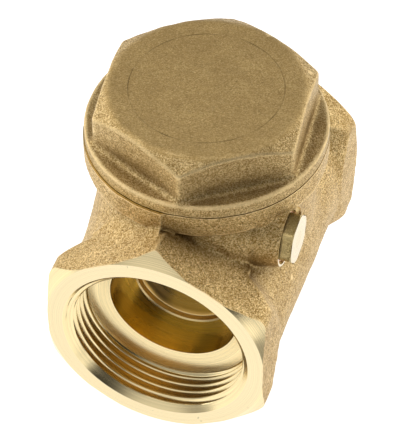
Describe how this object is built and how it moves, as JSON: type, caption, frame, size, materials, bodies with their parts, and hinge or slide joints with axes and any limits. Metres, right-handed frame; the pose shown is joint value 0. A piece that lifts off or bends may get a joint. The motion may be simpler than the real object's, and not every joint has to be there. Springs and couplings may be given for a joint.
{
  "type": "swing check valve",
  "caption": "Brass swing check valve with hexagonal female threaded ends, a screwed hexagonal cap and a hinged clapper that turns about a pin behind a side plug.",
  "frame": {"origin": "centre of the end face of the inlet, on the flow axis", "axes": "+Y along the flow axis, from the inlet to the outlet; +Z along the axis of the cap, out of the cap; +X out of the hinge plug's side"},
  "size_m": [0.0615, 0.0808, 0.0846],
  "materials": {
    "cast_brass": "cast, fine grain, with machined faces",
    "turned_brass": "turned, satin",
    "copper": "soft copper, satin",
    "steel": "ground",
    "fibre": "pressed fibre, matte"
  },
  "bodies": {
    "body": {"valve_body": "cast_brass"},
    "arm": {"swing_arm": "cast_brass"},
    "disc": {"valve_disc": "turned_brass", "disc_washer": "turned_brass", "disc_nut": "turned_brass", "nut_split_pin": "steel"},
    "pin": {"hinge_pin": "steel"},
    "gasket": {"cap_gasket": "fibre"},
    "cap": {"screw_cap": "cast_brass"},
    "plug_ring": {"plug_washer": "copper"},
    "plug": {"hinge_plug": "turned_brass"}
  },
  "joints": [
    {"name": "clapper_swing", "type": "hinge", "parent": "body", "child": "arm", "pos_m": [0, 0.0248, 0.0245], "axis": [1, 0, 0], "range_deg": [0, 68]},
    {"name": "disc_spin", "type": "hinge", "parent": "arm", "child": "disc", "pos_m": [0, 0.0231, -0.001], "axis": [0, 1, 0], "continuous": true},
    {"name": "pin_turn", "type": "hinge", "parent": "body", "child": "pin", "pos_m": [0, 0.0248, 0.0245], "axis": [1, 0, 0], "continuous": true},
    {"name": "cap_lift", "type": "slide", "parent": "body", "child": "gasket", "axis": [0, 0, 1], "range_m": [0, 0.009]},
    {"name": "cap_turn", "type": "hinge", "parent": "gasket", "child": "cap", "pos_m": [0, 0.0411, 0.0376], "axis": [0, 0, 1], "range_deg": [0, 2160]},
    {"name": "plug_out", "type": "slide", "parent": "body", "child": "plug_ring", "axis": [1, 0, 0], "range_m": [0, 0.0055]},
    {"name": "plug_turn", "type": "hinge", "parent": "plug_ring", "child": "plug", "pos_m": [0.0255, 0.0248, 0.0245], "axis": [1, 0, 0], "range_deg": [0, 1980]}
  ],
  "couplings": [
    {"joint": "cap_lift", "follows": "cap_turn", "m_per_rad": 0.00023873},
    {"joint": "plug_out", "follows": "plug_turn", "m_per_rad": 0.00015915}
  ]
}
